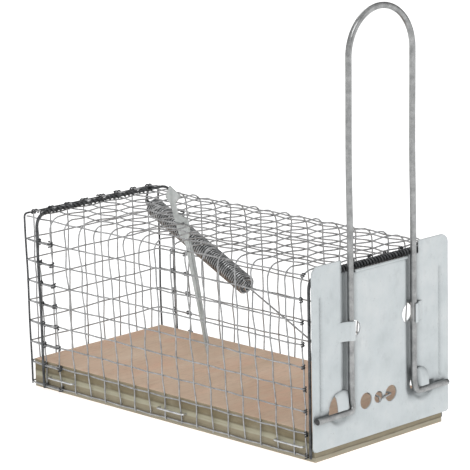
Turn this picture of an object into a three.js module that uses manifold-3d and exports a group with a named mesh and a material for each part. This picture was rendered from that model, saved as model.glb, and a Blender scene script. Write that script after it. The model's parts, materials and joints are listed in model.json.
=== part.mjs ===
// Live catch trap: a wire mesh cage on a plywood board, with a sprung sheet steel door
// hinged at the top of the front, a wire bail that lifts it, and a hanging trigger hook.
// Millimetres. +Z up, the door faces -Y, +X is to the right seen from the door.
// The origin is the centre of the board's underside.
import * as THREE from "three";
import { mergeVertices } from "three/addons/utils/BufferGeometryUtils.js";
import Module from "manifold-3d";

const wasm = await Module();
wasm.setup();

// ---------------------------------------------------------------- driving dimensions
const GAP = 0.3; // clearance between pieces that touch on the real object

const BOARD = { width: 103, length: 228, thick: 17 };

const CELL_Y = 12.6; // mesh pitch along the cage
const CELL_Z = 12.3; // mesh pitch up the side walls
const CELL_ROOF = 12.5; // mesh pitch across the roof
const CELL_BACK = 13.1; // mesh pitch across the back wall
const BACK_TOP_Z = 100; // top of the back wall's middle columns
const MESH_WIRE = 1.0;
const WALL_X = 52.8; // middle of the side wall wires
const ROOF_Z = 104.3; // middle of the roof wires
const BEND = 7.5; // bend radius between a wall and the roof
const LOWEST_WIRE_Z = 3.1;
const WALL_ROWS = 7; // cells up a side wall
const HOOPS = 17; // hoops between the front and rear hoops

const BACK_Y = 115.9; // middle of the back wall wires

const FRONT_HOOP = { radius: 1.1, y: -111.9, topZ: 102.4, x: 53, bend: 8, footZ: 2.6 };
const HOOP_STANDOFF = 1.6; // the rear hoop lies outside the mesh, this far from its wires' middle
const REAR_HOOP = {
  radius: 0.8, y: 102.5, topZ: ROOF_Z + HOOP_STANDOFF, x: WALL_X + HOOP_STANDOFF,
  bend: BEND + HOOP_STANDOFF, footZ: 2.6,
};

const DOOR = {
  halfWidth: 54.4, bottomZ: 6.5, panelTopZ: 101, stripTopZ: 108.5, thick: 0.8, frontY: -116,
  stripInnerX: 31, cornerRadius: 5, footRadius: 2,
};
const BAIL = { radius: 1.75, legX: 25.3, legY: -116.5, apexZ: 241.5, footZ: 24, footEndX: 54.8 };
const GROOVE = { radius: 5.2, bottomZ: 19, centreInFront: 2.75 };
const RIB = { x: 48, halfWidth: 0.8, bottomZ: 27, topZ: 92, proud: 0.4 };
const EYE_HOLE = { x: 33.5, z: 27, radius: 9.5 }; // round hole behind each bail elbow
const MID_TAB = { z: 69, holeX: 22.6, holeRadius: 5, height: 11 };
const ELBOW_BEND = 6;
const ELBOW_TAB = { bottomZ: 30.8, topZ: 37 };
const TAB_FLANK = 4.4; // how far a tab's flank runs out along the plate
const TAB_TURN = 0.8 * Math.PI; // how far a tab wraps round its bail leg
const HOOK_HOLES = [{ x: -13, r: 4.6 }, { x: -3, r: 3.3 }, { x: 7, r: 4.6 }];
const HOOK_HOLE_Z = 26.8;
const HINGE_LOOP = { x: 36.3, width: 7, inner: 1.5, outer: 2.3 };

const SPRING = { outer: 6, inner: 4.5, from: 9, to: 108 };
const ANCHOR = new THREE.Vector3(36, 107, 98.5); // rear pivot of the spring
const HOOK_EYE = new THREE.Vector3(2, -105, 27); // where the pull wire meets the door hook
const THIN_WIRE = 0.75; // radius of the pull wire, hooks and links
const PULL_EYE = { length: 7, width: 4.6, from: 2 }; // from: start of the wire past the coil
const HOOK = { halfWidth: 2.4, splay: 1.2, run: 6, bend: 1.5 }; // the door hook's bent tip

const TRIGGER = { x: -10.8, thick: 1, pivotY: 25.8, pivotZ: ROOF_Z, lean: 12.5, reach: 78 };

const STAPLE = { wire: 1.2, crown: 21, leg: 7, z: 8 };
const SIDE_STAPLE_Y = [-96, -4, 89];
const BACK_STAPLE_X = [-26, 26];

// ---------------------------------------------------------------- materials
const steel = (color, roughness) =>
  new THREE.MeshStandardMaterial({ color, roughness, metalness: 0.9 });
const plywood = new THREE.MeshStandardMaterial({ color: 0xc9a98a, roughness: 0.8, metalness: 0 });
const meshSteel = steel(0x8f9294, 0.45);
const darkSteel = steel(0x55585a, 0.5);
const sheetSteel = steel(0xc4cccd, 0.4);
const bailSteel = steel(0x9da1a2, 0.35);
const springSteel = steel(0x6d6f72, 0.3);
const stapleSteel = steel(0xc0c2c4, 0.3);

// ---------------------------------------------------------------- solids
const trap = new THREE.Group();

function addPiece(name, geometry, material) {
  const mesh = new THREE.Mesh(geometry, material);
  mesh.name = name;
  trap.add(mesh);
  return mesh;
}

function toSolid(geometry) {
  const bare = geometry.clone();
  bare.deleteAttribute("normal");
  bare.deleteAttribute("uv");
  const merged = mergeVertices(bare, 1e-5);
  return new wasm.Manifold(new wasm.Mesh({
    numProp: 3,
    vertProperties: new Float32Array(merged.attributes.position.array),
    triVerts: new Uint32Array(merged.index.array),
  }));
}

function toGeometry(solid) {
  const mesh = solid.getMesh();
  const geometry = new THREE.BufferGeometry();
  geometry.setAttribute("position", new THREE.BufferAttribute(mesh.vertProperties, 3));
  geometry.setIndex(new THREE.BufferAttribute(mesh.triVerts, 1));
  geometry.computeVertexNormals();
  return geometry;
}

// a box from its lowest corner to its highest corner
function boxBetween(low, high) {
  const size = high.map((value, axis) => value - low[axis]);
  const geometry = new THREE.BoxGeometry(...size);
  geometry.translate(...low.map((value, axis) => value + size[axis] / 2));
  return geometry;
}

const ngon = (radius, sides) => {
  const shape = new THREE.Shape();
  for (let i = 0; i < sides; i++) {
    const turn = ((i + 0.5) / sides) * 2 * Math.PI;
    const point = [radius * Math.cos(turn), radius * Math.sin(turn)];
    if (i === 0) shape.moveTo(...point);
    else shape.lineTo(...point);
  }
  shape.closePath();
  return shape;
};

// a chain of curves, each cut into its own number of steps: parts is [[curve, steps], ...]
class SteppedPath extends THREE.Curve {
  constructor(parts) {
    super();
    this.parts = parts;
    this.steps = parts.reduce((sum, [, steps]) => sum + steps, 0);
  }

  getPoint(t, target = new THREE.Vector3()) {
    let left = t * this.steps;
    for (const [curve, steps] of this.parts) {
      if (left <= steps) return target.copy(curve.getPoint(left / steps));
      left -= steps;
    }
    return target.copy(this.parts[this.parts.length - 1][0].getPoint(1));
  }

  getPointAt(u, target) {
    return this.getPoint(u, target);
  }

  getTangentAt(u, target) {
    return this.getTangent(u, target);
  }
}

// a round wire along a SteppedPath
function wire(path, radius, sides = 8) {
  return new THREE.ExtrudeGeometry(ngon(radius, sides), {
    steps: path.steps, extrudePath: path, bevelEnabled: false,
  });
}

// straight runs between points, with rounded corners of bendSteps steps each
function roundedPath(points, radius, bendSteps = 4) {
  const parts = [];
  let start = points[0];
  for (let i = 1; i < points.length - 1; i++) {
    const before = points[i].clone().sub(points[i - 1]).normalize();
    const after = points[i + 1].clone().sub(points[i]).normalize();
    const trim = radius * Math.tan(before.angleTo(after) / 2);
    const into = points[i].clone().addScaledVector(before, -trim);
    const out = points[i].clone().addScaledVector(after, trim);
    parts.push([new THREE.LineCurve3(start, into), 1]);
    parts.push([new THREE.QuadraticBezierCurve3(into, points[i], out), bendSteps]);
    start = out;
  }
  parts.push([new THREE.LineCurve3(start, points[points.length - 1]), 1]);
  return new SteppedPath(parts);
}

const v3 = (x, y, z) => new THREE.Vector3(x, y, z);

// ---------------------------------------------------------------- flat grids of mesh
// bars centred on each u and each v: a plate MESH_WIRE thick with a square hole in each cell
function flatGrid(barsU, barsV) {
  const half = MESH_WIRE / 2;
  const plate = boxBetween(
    [barsU[0] - half, barsV[0] - half, -half],
    [barsU[barsU.length - 1] + half, barsV[barsV.length - 1] + half, half],
  );
  const cells = [];
  for (let i = 0; i + 1 < barsU.length; i++) {
    for (let j = 0; j + 1 < barsV.length; j++) {
      cells.push(toSolid(boxBetween(
        [barsU[i] + half, barsV[j] + half, -MESH_WIRE],
        [barsU[i + 1] - half, barsV[j + 1] - half, MESH_WIRE],
      )));
    }
  }
  return toSolid(plate).subtract(wasm.Manifold.compose(cells));
}

const hoopY = Array.from({ length: HOOPS }, (_, k) => BOARD.length / 2 - CELL_Y * (HOOPS - k));
const cageFrontY = FRONT_HOOP.y + HINGE_LOOP.outer + GAP + MESH_WIRE / 2;
const cageRearY = BACK_Y - MESH_WIRE - GAP;
const barsAlong = [cageFrontY, ...hoopY, cageRearY];
const wallZ = Array.from({ length: WALL_ROWS + 1 }, (_, k) => LOWEST_WIRE_Z + CELL_Z * k);
const roofX = [-3, -2, -1, 0, 1, 2, 3].map((k) => k * CELL_ROOF);
const backX = [-3.5, -2.5, -1.5, -0.5, 0.5, 1.5, 2.5, 3.5].map((k) => k * CELL_BACK);

// a side wall: the grid's u runs along Y and its v runs along Z
function sideWall(side) {
  const grid = toGeometry(flatGrid(barsAlong, wallZ));
  grid.rotateX(Math.PI / 2);
  grid.rotateZ(Math.PI / 2);
  grid.translate(side * WALL_X, 0, 0);
  return grid;
}

function roof() {
  const grid = toGeometry(flatGrid(roofX, barsAlong));
  grid.translate(0, 0, ROOF_Z);
  return grid;
}

// the back wall's middle columns are one row taller than its outer ones
function backWall() {
  const rows = flatGrid([-WALL_X, ...backX, WALL_X], wallZ);
  const top = flatGrid(backX, [wallZ[WALL_ROWS], BACK_TOP_Z]);
  const wall = toGeometry(rows.add(top));
  wall.rotateX(Math.PI / 2);
  wall.translate(0, BACK_Y, 0);
  return wall;
}

// the rounded edge between a wall and the roof: a quarter bend for each hoop, on one rail
function roofEdge(side) {
  const centreX = WALL_X - BEND;
  const centreZ = ROOF_Z - BEND;
  const half = MESH_WIRE / 2;
  const startZ = wallZ[WALL_ROWS] + half + GAP;
  const endX = roofX[roofX.length - 1] + half + GAP;
  const outline = new THREE.Shape();
  outline.moveTo(WALL_X + half, startZ);
  outline.lineTo(WALL_X + half, centreZ);
  outline.absarc(centreX, centreZ, BEND + half, 0, Math.PI / 2, false);
  outline.lineTo(endX, ROOF_Z + half);
  outline.lineTo(endX, ROOF_Z - half);
  outline.lineTo(centreX, ROOF_Z - half);
  outline.absarc(centreX, centreZ, BEND - half, Math.PI / 2, 0, true);
  outline.lineTo(WALL_X - half, startZ);
  let solid = null;
  for (const y of barsAlong) {
    const bar = new THREE.ExtrudeGeometry(outline, {
      depth: MESH_WIRE, bevelEnabled: false, curveSegments: 3,
    });
    bar.rotateX(Math.PI / 2);
    bar.translate(0, y + half, 0);
    solid = solid ? solid.add(toSolid(bar)) : toSolid(bar);
  }
  const rail = boxBetween([-half, cageFrontY - half, -half], [half, cageRearY + half, half]);
  rail.rotateY(Math.PI / 4);
  const out = BEND / Math.SQRT2;
  rail.translate(centreX + out, 0, centreZ + out);
  solid = solid.add(toSolid(rail));
  if (side < 0) solid = solid.mirror([1, 0, 0]);
  return toGeometry(solid);
}

// ---------------------------------------------------------------- frame wires
// an upside down U of thick wire across the cage
function hoop({ radius, y, topZ, x, bend, footZ }) {
  const corners = [v3(-x, y, footZ), v3(-x, y, topZ), v3(x, y, topZ), v3(x, y, footZ)];
  return wire(roundedPath(corners, bend, 6), radius);
}

// ---------------------------------------------------------------- board and staples
// a staple with its crown level, standing off the board's side along +X
function staple(crownX, clearance = 0) {
  const half = STAPLE.wire / 2 + clearance;
  const reach = STAPLE.crown / 2;
  const crown = boxBetween(
    [crownX - half, -reach - half, -half], [crownX + half, reach + half, half],
  );
  const legs = [-1, 1].map((end) => boxBetween(
    [-STAPLE.leg - clearance, end * reach - half, -half], [crownX + half, end * reach + half, half],
  ));
  return legs.reduce((solid, leg) => solid.add(toSolid(leg)), toSolid(crown));
}

function stapleSpots() {
  const spots = [];
  const edgeX = BOARD.width / 2 + GAP;
  const edgeY = BOARD.length / 2 + GAP;
  const overMesh = MESH_WIRE / 2 + GAP + STAPLE.wire / 2;
  const sideCrown = WALL_X + overMesh - edgeX;
  const backCrown = BACK_Y + overMesh - edgeY;
  const names = ["front", "middle", "rear"];
  for (const [side, label] of [[-1, "left"], [1, "right"]]) {
    SIDE_STAPLE_Y.forEach((y, i) => spots.push({
      name: `staple_${label}_${names[i]}`, at: [side * edgeX, y, STAPLE.z], turn: side < 0 ? 180 : 0,
      crown: sideCrown,
    }));
  }
  BACK_STAPLE_X.forEach((x) => spots.push({
    name: `staple_back_${x < 0 ? "left" : "right"}`, at: [x, edgeY, STAPLE.z], turn: 90,
    crown: backCrown,
  }));
  return spots;
}

const placed = (solid, spot) => solid.rotate([0, 0, spot.turn]).translate(spot.at);

function board(spots) {
  const { width, length, thick } = BOARD;
  let solid = toSolid(boxBetween([-width / 2, -length / 2, 0], [width / 2, length / 2, thick]));
  for (const spot of spots) solid = solid.subtract(placed(staple(spot.crown, GAP), spot));
  return toGeometry(solid);
}

// ---------------------------------------------------------------- door
// extrudes a shape drawn in X and Z by the sheet's thickness, front face at y
function sheet(shape, y, depth, curveSegments = 8) {
  const geometry = new THREE.ExtrudeGeometry(shape, { depth, bevelEnabled: false, curveSegments });
  geometry.rotateX(Math.PI / 2);
  geometry.translate(0, y + depth, 0);
  return toSolid(geometry);
}

const disc = (x, z, radius) => {
  const shape = new THREE.Shape();
  shape.absarc(x, z, radius, 0, 2 * Math.PI, false);
  return shape;
};

// the door's outline: two tall side strips with rounded shoulders, and a lower middle panel
function doorOutline() {
  const { halfWidth, bottomZ, panelTopZ, stripTopZ, stripInnerX, cornerRadius, footRadius } = DOOR;
  const shape = new THREE.Shape();
  shape.moveTo(-halfWidth + footRadius, bottomZ);
  shape.lineTo(halfWidth - footRadius, bottomZ);
  shape.absarc(halfWidth - footRadius, bottomZ + footRadius, footRadius, -Math.PI / 2, 0, false);
  for (const side of [1, -1]) {
    const cornerX = side * (halfWidth - cornerRadius);
    const cornerZ = stripTopZ - cornerRadius;
    if (side > 0) {
      shape.absarc(cornerX, cornerZ, cornerRadius, 0, Math.PI / 2, false);
      shape.lineTo(stripInnerX, stripTopZ);
      shape.lineTo(stripInnerX, panelTopZ);
    } else {
      shape.lineTo(-stripInnerX, panelTopZ);
      shape.lineTo(-stripInnerX, stripTopZ);
      shape.absarc(cornerX, cornerZ, cornerRadius, Math.PI / 2, Math.PI, false);
    }
  }
  shape.absarc(-halfWidth + footRadius, bottomZ + footRadius, footRadius, Math.PI, 1.5 * Math.PI, false);
  return shape;
}

// an arched band of sheet over a bail leg, from the plate at one side of it
function tabOver(x, inward, lowZ, highZ) {
  const inner = BAIL.radius + GAP;
  const outer = inner + DOOR.thick;
  const shape = new THREE.Shape();
  const backY = DOOR.frontY + DOOR.thick;
  shape.moveTo(inward * (outer + TAB_FLANK), backY);
  shape.lineTo(inward * (outer + TAB_FLANK), DOOR.frontY);
  shape.lineTo(inward * outer, BAIL.legY);
  const steps = 6;
  for (let i = 0; i <= steps; i++) {
    const turn = (i / steps) * TAB_TURN;
    shape.lineTo(inward * outer * Math.cos(turn), BAIL.legY - outer * Math.sin(turn));
  }
  for (let i = steps; i >= 0; i--) {
    const turn = (i / steps) * TAB_TURN;
    shape.lineTo(inward * inner * Math.cos(turn), BAIL.legY - inner * Math.sin(turn));
  }
  shape.lineTo(inward * inner, backY);
  const geometry = new THREE.ExtrudeGeometry(shape, { depth: highZ - lowZ, bevelEnabled: false });
  geometry.translate(x, 0, lowZ);
  return toSolid(geometry);
}

// half round grooves for the bail legs, as a ring sector of sheet behind the plate
function groove(x, top) {
  const centreY = DOOR.frontY - GROOVE.centreInFront;
  const backReach = GROOVE.radius + DOOR.thick;
  const cylinder = (radius) => {
    const geometry = new THREE.ExtrudeGeometry(disc(0, 0, radius), {
      depth: top - GROOVE.bottomZ, bevelEnabled: false, curveSegments: 10,
    });
    geometry.translate(x, centreY, GROOVE.bottomZ);
    return toSolid(geometry);
  };
  const keepBehind = toSolid(boxBetween(
    [x - backReach, DOOR.frontY, GROOVE.bottomZ], [x + backReach, DOOR.frontY + 10, top],
  ));
  return { shell: cylinder(backReach).intersect(keepBehind), hollow: cylinder(GROOVE.radius) };
}

// a curled tongue that runs back from the plate and round the front hoop's top
function hingeLoop(x) {
  const { width, inner, outer } = HINGE_LOOP;
  const ring = new THREE.Shape();
  ring.absarc(0, 0, outer, 0, 2 * Math.PI, false);
  ring.holes.push(disc(0, 0, inner));
  const curl = new THREE.ExtrudeGeometry(ring, { depth: width, bevelEnabled: false, curveSegments: 6 });
  curl.rotateY(Math.PI / 2);
  curl.translate(x - width / 2, FRONT_HOOP.y, FRONT_HOOP.topZ);
  const tongue = boxBetween(
    [x - width / 2, DOOR.frontY, FRONT_HOOP.topZ + inner],
    [x + width / 2, FRONT_HOOP.y, FRONT_HOOP.topZ + outer],
  );
  const clearBar = new THREE.ExtrudeGeometry(disc(0, 0, inner), {
    depth: width + 2, bevelEnabled: false, curveSegments: 6,
  });
  clearBar.rotateY(Math.PI / 2);
  clearBar.translate(x - width / 2 - 1, FRONT_HOOP.y, FRONT_HOOP.topZ);
  return toSolid(curl).add(toSolid(tongue)).subtract(toSolid(clearBar));
}

function doorPlate() {
  const { frontY, thick, panelTopZ } = DOOR;
  let solid = sheet(doorOutline(), frontY, thick);
  const through = (shape) => sheet(shape, frontY - 4, 9);
  for (const side of [-1, 1]) {
    const { shell, hollow } = groove(side * BAIL.legX, panelTopZ);
    solid = solid.add(shell).subtract(hollow);
    solid = solid.subtract(through(disc(side * EYE_HOLE.x, EYE_HOLE.z, EYE_HOLE.radius)));
    solid = solid.subtract(through(disc(side * MID_TAB.holeX, MID_TAB.z, MID_TAB.holeRadius)));
    const midLow = MID_TAB.z - MID_TAB.height / 2;
    const mid = tabOver(side * BAIL.legX, side, midLow, midLow + MID_TAB.height);
    const elbow = tabOver(side * BAIL.legX, -side, ELBOW_TAB.bottomZ, ELBOW_TAB.topZ);
    solid = solid.add(mid).add(elbow);
    solid = solid.add(hingeLoop(side * HINGE_LOOP.x));
    const rib = boxBetween(
      [side * RIB.x - RIB.halfWidth, frontY - RIB.proud, RIB.bottomZ],
      [side * RIB.x + RIB.halfWidth, frontY + thick / 2, RIB.topZ],
    );
    solid = solid.add(toSolid(rib));
  }
  for (const { x, r } of HOOK_HOLES) solid = solid.subtract(through(disc(x, HOOK_HOLE_Z, r)));
  return toGeometry(solid);
}

// ---------------------------------------------------------------- bail
// outward feet, elbows that drop back into the door's grooves, straight legs and a round arch
function bail() {
  const { radius, legX, legY, apexZ, footZ, footEndX } = BAIL;
  const footY = DOOR.frontY - radius - GAP;
  const archZ = apexZ - legX;
  const quarter = (4 / 3) * (Math.SQRT2 - 1) * legX;
  const apex = v3(0, legY, apexZ);
  const side = (sign) => {
    const end = v3(sign * footEndX, footY, footZ);
    const turn = v3(sign * (legX + ELBOW_BEND), footY, footZ);
    const corner = v3(sign * legX, footY, footZ);
    const up = v3(sign * legX, legY, footZ + ELBOW_BEND);
    const arch = v3(sign * legX, legY, archZ);
    const rise = v3(sign * legX, legY, archZ + quarter);
    const level = v3(sign * quarter, legY, apexZ);
    return { end, turn, corner, up, arch, rise, level };
  };
  const [a, b] = [side(-1), side(1)];
  return wire(new SteppedPath([
    [new THREE.LineCurve3(a.end, a.turn), 1],
    [new THREE.QuadraticBezierCurve3(a.turn, a.corner, a.up), 6],
    [new THREE.LineCurve3(a.up, a.arch), 1],
    [new THREE.CubicBezierCurve3(a.arch, a.rise, a.level, apex), 8],
    [new THREE.CubicBezierCurve3(apex, b.level, b.rise, b.arch), 8],
    [new THREE.LineCurve3(b.arch, b.up), 1],
    [new THREE.QuadraticBezierCurve3(b.up, b.corner, b.turn), 6],
    [new THREE.LineCurve3(b.turn, b.end), 1],
  ]), radius);
}

// ---------------------------------------------------------------- spring and pull wire
const pullDirection = HOOK_EYE.clone().sub(ANCHOR).normalize();
const alongPull = (distance) => ANCHOR.clone().addScaledVector(pullDirection, distance);
const pullLength = ANCHOR.distanceTo(HOOK_EYE);

function springCoil() {
  const { outer, inner, from, to } = SPRING;
  const profile = [
    new THREE.Vector2(inner, from), new THREE.Vector2(outer, from),
    new THREE.Vector2(outer, to), new THREE.Vector2(inner, to), new THREE.Vector2(inner, from),
  ];
  const tube = new THREE.LatheGeometry(profile, 14);
  tube.applyQuaternion(new THREE.Quaternion().setFromUnitVectors(v3(0, 1, 0), pullDirection));
  tube.translate(ANCHOR.x, ANCHOR.y, ANCHOR.z);
  return tube;
}

// a closed oval eye of wire that ends at `tip`, runs back from it and spreads across
function wireEye(tip, along, across, length, width) {
  const points = [];
  const count = 12;
  for (let i = 0; i < count; i++) {
    const turn = (i / count) * 2 * Math.PI;
    points.push(tip.clone()
      .addScaledVector(along, (length / 2) * (Math.cos(turn) - 1))
      .addScaledVector(across, (width / 2) * Math.sin(turn)));
  }
  const loop = new THREE.CatmullRomCurve3(points, true);
  return toSolid(new THREE.ExtrudeGeometry(ngon(THIN_WIRE, 6), {
    steps: 14, extrudePath: loop, bevelEnabled: false,
  }));
}

// a link from the rear hoop's top down to the spring's rear hook
function springAnchor() {
  const top = v3(ANCHOR.x, REAR_HOOP.y, REAR_HOOP.topZ);
  const clear = REAR_HOOP.radius + GAP + THIN_WIRE;
  const low = ANCHOR.clone();
  const path = roundedPath([
    v3(top.x, top.y - 2.2, top.z + clear), v3(top.x, top.y + 2.4, top.z + clear),
    v3(low.x, low.y + 1.6, low.z - 1.4), v3(low.x, low.y - 2.6, low.z - 1.4),
  ], 1.2);
  return wire(path, THIN_WIRE, 6);
}

// a straight run from the spring's front hook to an eye round the door hook
function pullWire() {
  const { length, width, from } = PULL_EYE;
  const tipAt = pullLength + 2 * THIN_WIRE + GAP;
  const start = alongPull(SPRING.to + from);
  const end = alongPull(tipAt - length + THIN_WIRE / 2);
  const run = new SteppedPath([[new THREE.LineCurve3(start, end), 1]]);
  const side = v3(1, 0, 0).cross(pullDirection).normalize();
  const ring = wireEye(alongPull(tipAt), pullDirection, side, length, width);
  return toGeometry(toSolid(wire(run, THIN_WIRE, 6)).add(ring));
}

// a bent wire through the door's two right hand holes, with its bend inside the cage
function doorHook() {
  const [, left, right] = HOOK_HOLES;
  const outY = DOOR.frontY - THIN_WIRE - GAP;
  const { halfWidth, splay, run, bend } = HOOK;
  const { x, y, z } = HOOK_EYE;
  const path = roundedPath([
    v3(left.x, outY, HOOK_HOLE_Z), v3(left.x + splay, outY + run, HOOK_HOLE_Z),
    v3(x - halfWidth, y, z), v3(x + halfWidth, y, z),
    v3(right.x - splay, outY + run, HOOK_HOLE_Z), v3(right.x, outY, HOOK_HOLE_Z),
  ], bend);
  return wire(path, THIN_WIRE, 6);
}

// ---------------------------------------------------------------- trigger
// drawn upright in its own plane: u towards the rear of the cage, w up, pivot at the origin
function trigger() {
  const { x, thick, pivotY, pivotZ, lean, reach } = TRIGGER;
  const shape = new THREE.Shape([
    [-1.2, -reach], [0.6, -reach + 3], [1.9, -12], [5, -6], [6.4, 1.4], [7, 4.5], [7.4, 9],
    [8.4, 13.2], [11.2, 16.4], [6.2, 22.8], [-2, 15.8], [3.6, 12.4], [3.4, 6.2], [-1.8, 3.4],
    [-4.4, 1.6], [-4.2, -5], [-2, -9], [-1.9, -reach + 6],
  ].map(([u, w]) => new THREE.Vector2(u, w)));
  shape.holes.push(disc(0, 0, MESH_WIRE / Math.SQRT2 + GAP));
  const blade = new THREE.ExtrudeGeometry(shape, { depth: thick, bevelEnabled: false, curveSegments: 5 });
  blade.rotateX(Math.PI / 2);
  blade.rotateZ(Math.PI / 2);
  blade.rotateX(THREE.MathUtils.degToRad(-lean));
  blade.translate(x - thick / 2, pivotY, pivotZ);
  return blade;
}

// ---------------------------------------------------------------- the trap
const spots = stapleSpots();
addPiece("base_board", board(spots), plywood);
for (const spot of spots) {
  addPiece(spot.name, toGeometry(placed(staple(spot.crown), spot)), stapleSteel);
}

addPiece("mesh_left_wall", sideWall(-1), meshSteel);
addPiece("mesh_right_wall", sideWall(1), meshSteel);
addPiece("mesh_roof", roof(), meshSteel);
addPiece("mesh_roof_edge_left", roofEdge(-1), meshSteel);
addPiece("mesh_roof_edge_right", roofEdge(1), meshSteel);
addPiece("mesh_back_wall", backWall(), meshSteel);
addPiece("front_hoop", hoop(FRONT_HOOP), darkSteel);
addPiece("rear_hoop", hoop(REAR_HOOP), darkSteel);

addPiece("door_plate", doorPlate(), sheetSteel);
addPiece("bail_handle", bail(), bailSteel);

addPiece("door_hook", doorHook(), darkSteel);

addPiece("spring_anchor", springAnchor(), darkSteel);
addPiece("spring_coil", springCoil(), springSteel);
addPiece("pull_wire", pullWire(), darkSteel);

addPiece("trigger_lever", trigger(), sheetSteel);

export default trap;
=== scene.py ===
"""Looks for the live catch trap: woven wire, embossed sheet door, coil spring and plywood.

Lengths in this script are millimetres in the trap's own frame (+Z up, door towards -Y); they
become metres when a mesh is made.
"""
import json
import math

import bmesh
import bpy
import numpy as np
from mathutils import Matrix, Vector
from mathutils.geometry import delaunay_2d_cdt


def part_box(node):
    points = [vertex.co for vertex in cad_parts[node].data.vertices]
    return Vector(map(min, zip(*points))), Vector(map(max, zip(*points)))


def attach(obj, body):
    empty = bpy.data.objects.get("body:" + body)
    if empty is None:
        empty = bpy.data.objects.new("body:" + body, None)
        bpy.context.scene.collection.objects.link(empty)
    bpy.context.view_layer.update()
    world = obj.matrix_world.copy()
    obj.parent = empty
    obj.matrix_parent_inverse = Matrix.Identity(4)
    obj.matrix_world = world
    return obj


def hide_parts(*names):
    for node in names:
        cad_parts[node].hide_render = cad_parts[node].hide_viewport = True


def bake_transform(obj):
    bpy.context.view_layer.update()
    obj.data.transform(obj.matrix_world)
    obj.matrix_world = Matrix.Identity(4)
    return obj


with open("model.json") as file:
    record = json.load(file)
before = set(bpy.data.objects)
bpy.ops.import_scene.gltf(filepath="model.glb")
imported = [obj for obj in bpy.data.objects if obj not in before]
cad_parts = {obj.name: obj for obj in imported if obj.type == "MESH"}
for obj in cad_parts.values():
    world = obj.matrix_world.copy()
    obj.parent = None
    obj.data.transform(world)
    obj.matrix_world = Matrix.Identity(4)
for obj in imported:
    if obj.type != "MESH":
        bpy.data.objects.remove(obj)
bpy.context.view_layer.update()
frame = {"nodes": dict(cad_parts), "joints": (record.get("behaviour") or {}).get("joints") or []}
MM = 0.001


def box_mm(node):
    low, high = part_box(node)
    return np.array(low) / MM, np.array(high) / MM


# ---- sizes taken from the frame
BOARD_LOW, BOARD_HIGH = box_mm("base_board")
ROOF_LOW, ROOF_HIGH = box_mm("mesh_roof")
WALL_LOW, WALL_HIGH = box_mm("mesh_left_wall")
BACK_LOW, BACK_HIGH = box_mm("mesh_back_wall")
REAR_LOW, REAR_HIGH = box_mm("rear_hoop")
FRONT_LOW, FRONT_HIGH = box_mm("front_hoop")
BAIL_LOW, BAIL_HIGH = box_mm("bail_handle")
JOINTS = {joint["name"]: joint for joint in frame["joints"]}
ANCHOR = np.array(JOINTS["spring_swing"]["pos_m"]) / MM
PULL = np.array(JOINTS["spring_stretch"]["axis"])
PIVOT = np.array(JOINTS["trigger_pivot"]["pos_m"]) / MM

WIRE_R = 0.44
HOOP_R = 1.1  # the front hoop
CRIMP = 0.36  # how far a wire bows off the mesh's middle plane at each crossing
SWAY = 0.28  # how far it wanders within that plane
WALL_X = -(WALL_LOW[0] + WALL_HIGH[0]) / 2
ROOF_Z = (ROOF_LOW[2] + ROOF_HIGH[2]) / 2
BEND = 7.5
FOOT_Z = 2.2
RAIL_Z = [3.1 + 12.3 * k for k in range(8)]
RAIL_ROOF_X = [12.5 * k for k in range(-3, 4)]
FRONT_Y = WALL_LOW[1] + 0.5
CORNER_Y = WALL_HIGH[1] - 0.5
HOOP_Y = [FRONT_Y] + [114 - 12.6 * k for k in range(17, 0, -1)] + [CORNER_Y]
BACK_Y = (BACK_LOW[1] + BACK_HIGH[1]) / 2
BACK_X = [13.1 * (k + 0.5) for k in range(-4, 4)]
REAR_Y = (REAR_LOW[1] + REAR_HIGH[1]) / 2
HINGE_Y = (FRONT_LOW[1] + FRONT_HIGH[1]) / 2
HINGE_Z = FRONT_HIGH[2] - HOOP_R
# how far back the tops stand from their feet: hoops left and right, rear hoop, back panel
LEAN_LEFT, LEAN_RIGHT, LEAN_REAR, LEAN_PANEL = 6.9, 1.6, 2.6, 1.0
TIE_R = 0.45  # the twisted ends at the back

DOOR_FRONT = -116.0
LEG_Y = -116.5
SHEET = 0.8
LEG_X = 25.3
BAIL_R = 1.75


# ---- meshes
def wobble(seed, t):
    """A smooth wander between -1 and 1 along t."""
    return (math.sin(1.7 * t + 12.9 * seed) + math.sin(0.61 * t + 7.3 * seed + 1.1)) / 2


ODD_DIRECTION = [0.31, 0.52, 0.79]  # along none of the wires, so a first cross product works
# a wire end's dome, as shares of the wire's radius: its inner ring, how far that and the tip stand out
DOME_RING, DOME_RING_OUT, DOME_TIP_OUT = 0.72, 0.45, 0.62


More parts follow.
